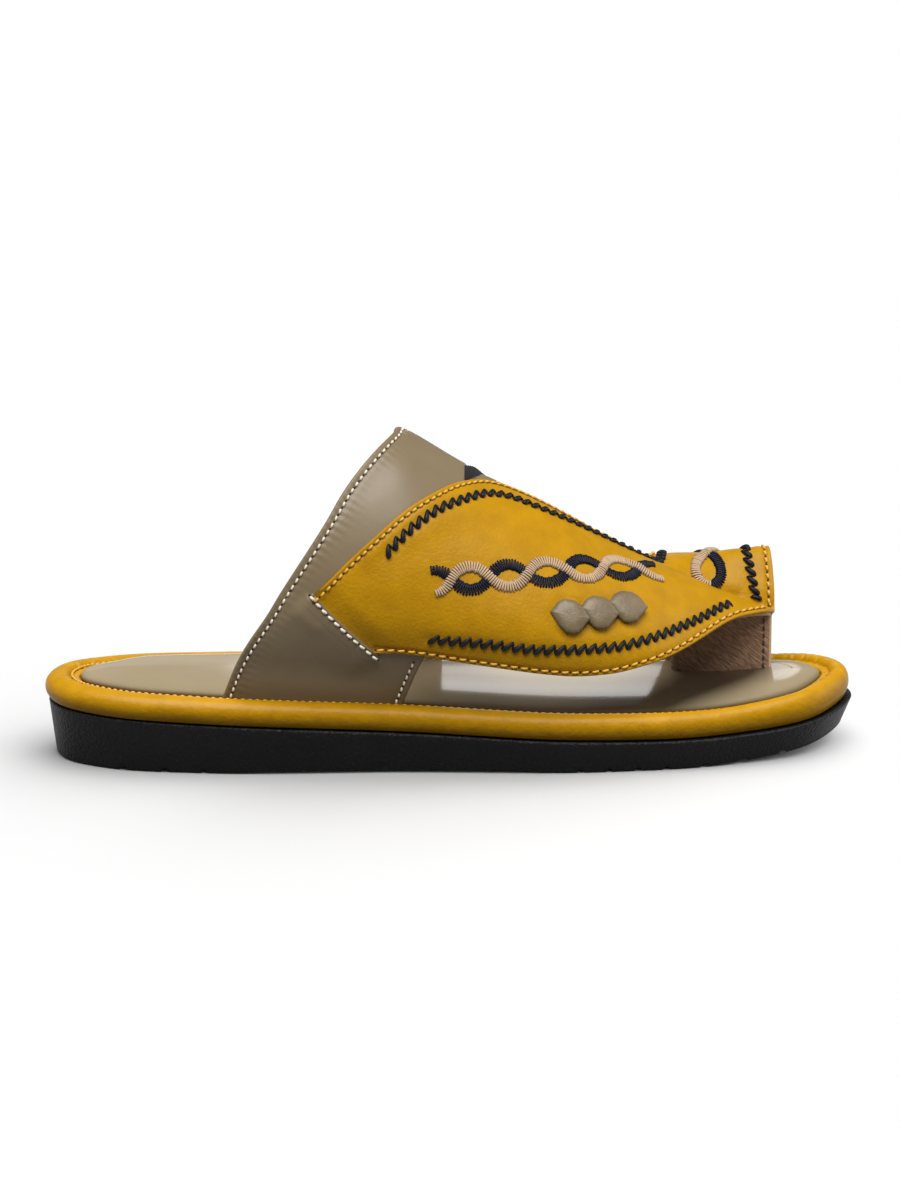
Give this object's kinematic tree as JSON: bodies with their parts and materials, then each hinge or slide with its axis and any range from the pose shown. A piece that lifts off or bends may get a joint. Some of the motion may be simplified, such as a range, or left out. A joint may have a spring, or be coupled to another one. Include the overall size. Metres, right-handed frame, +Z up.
{
  "type": "toe-loop sandal",
  "caption": "Right-foot toe-loop sandal: grooved outsole, leather-wrapped rim, cushioned insole, instep band and a leaf-shaped strap that turns into a loop round the big toe.",
  "frame": {"origin": "middle of the sandal's box, on the floor that it stands on", "axes": "+X from heel to toe, +Y towards the inner side of the right foot, +Z up"},
  "size_m": [0.2864, 0.0922, 0.116],
  "materials": {
    "black_sole": "moulded, finely pebbled, satin",
    "yellow_leather": "smooth grain, satin",
    "glossy_taupe": "smooth, glossy coat",
    "taupe_leather": "smooth grain, semi-gloss",
    "black_elastic": "ribbed, matte"
  },
  "bodies": {
    "root": {"outsole": "black_sole", "rim": "yellow_leather", "insole": "glossy_taupe", "upper": "taupe_leather", "strap_overlay": "yellow_leather", "elastic_gore": "black_elastic", "lozenge_rear": "taupe_leather", "lozenge_middle": "taupe_leather", "lozenge_front": "taupe_leather"}
  },
  "joints": []
}
